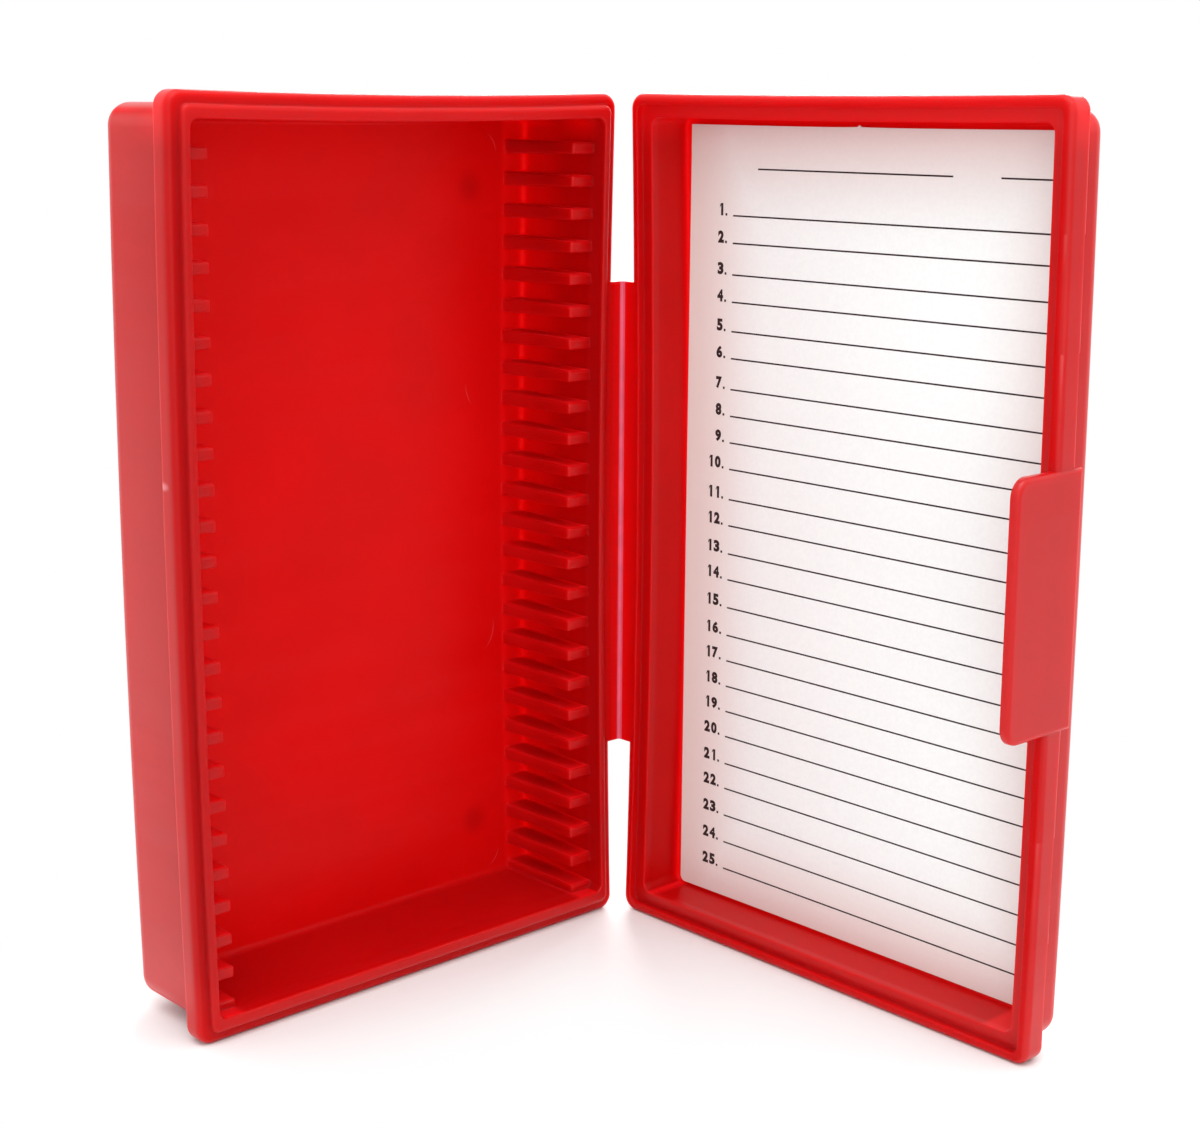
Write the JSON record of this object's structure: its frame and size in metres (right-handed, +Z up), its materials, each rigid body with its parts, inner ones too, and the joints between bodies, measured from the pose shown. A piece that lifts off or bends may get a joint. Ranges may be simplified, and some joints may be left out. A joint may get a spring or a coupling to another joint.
{
  "type": "microscope slide storage box",
  "caption": "Flat hinged plastic box with rows of slots for microscope slides and a numbered index card in its lid, standing open on its short end.",
  "frame": {"origin": "under the middle of the box's bounding box, on the surface that the open box stands on", "axes": "+Z up along the hinge's fold and the long sides; the tray runs from the fold towards -X with its back to +Y, and the lid runs from the fold towards -Y with its back to +X"},
  "size_m": [0.0972, 0.1084, 0.14],
  "materials": {
    "red_plastic": "semi-gloss red polypropylene, slightly translucent",
    "hinge_web": "the same plastic, thin and stretched, paler",
    "white_card": "matt white card with thin ruled lines"
  },
  "bodies": {
    "tray": {"tray": "red_plastic", "living_hinge": "hinge_web"},
    "lid": {"lid": "red_plastic", "index_card": "white_card"}
  },
  "joints": [
    {"name": "lid_hinge", "type": "hinge", "parent": "tray", "child": "lid", "pos_m": [0.03755, 0.0335, 0], "axis": [0, 0, 1], "range_deg": [-90, 115], "deforming": ["living_hinge"]}
  ]
}
